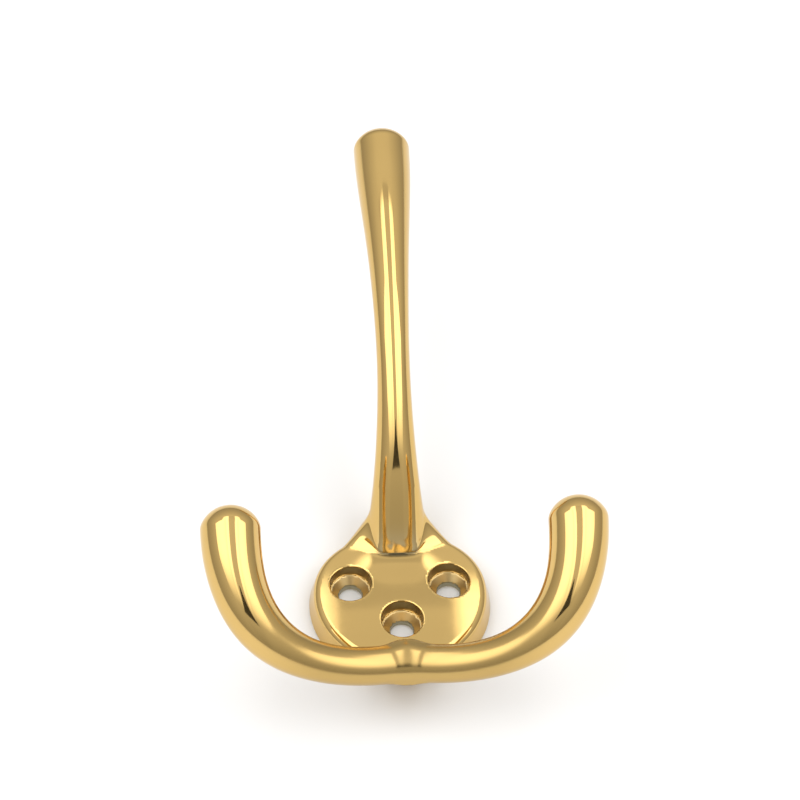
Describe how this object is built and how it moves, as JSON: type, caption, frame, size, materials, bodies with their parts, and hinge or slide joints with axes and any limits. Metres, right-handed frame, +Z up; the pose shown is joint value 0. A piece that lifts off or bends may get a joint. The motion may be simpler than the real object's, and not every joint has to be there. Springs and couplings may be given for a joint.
{
  "type": "triple wall hook",
  "caption": "Polished brass wall hook: a tall upper arm and a curved bar with upturned prongs below, cast in one with a small keyhole-shaped screw plate",
  "frame": {"origin": "on the plate's flat back face, at the centre of its round part", "axes": "as mounted on a wall: +X to the right seen from the front, +Y into the wall, +Z up; the arms reach out along -Y"},
  "size_m": [0.081, 0.047, 0.1241],
  "materials": {
    "polished_brass": "mirror polished, with turned screw recesses"
  },
  "bodies": {
    "root": {"triple_hook": "polished_brass"}
  },
  "joints": []
}
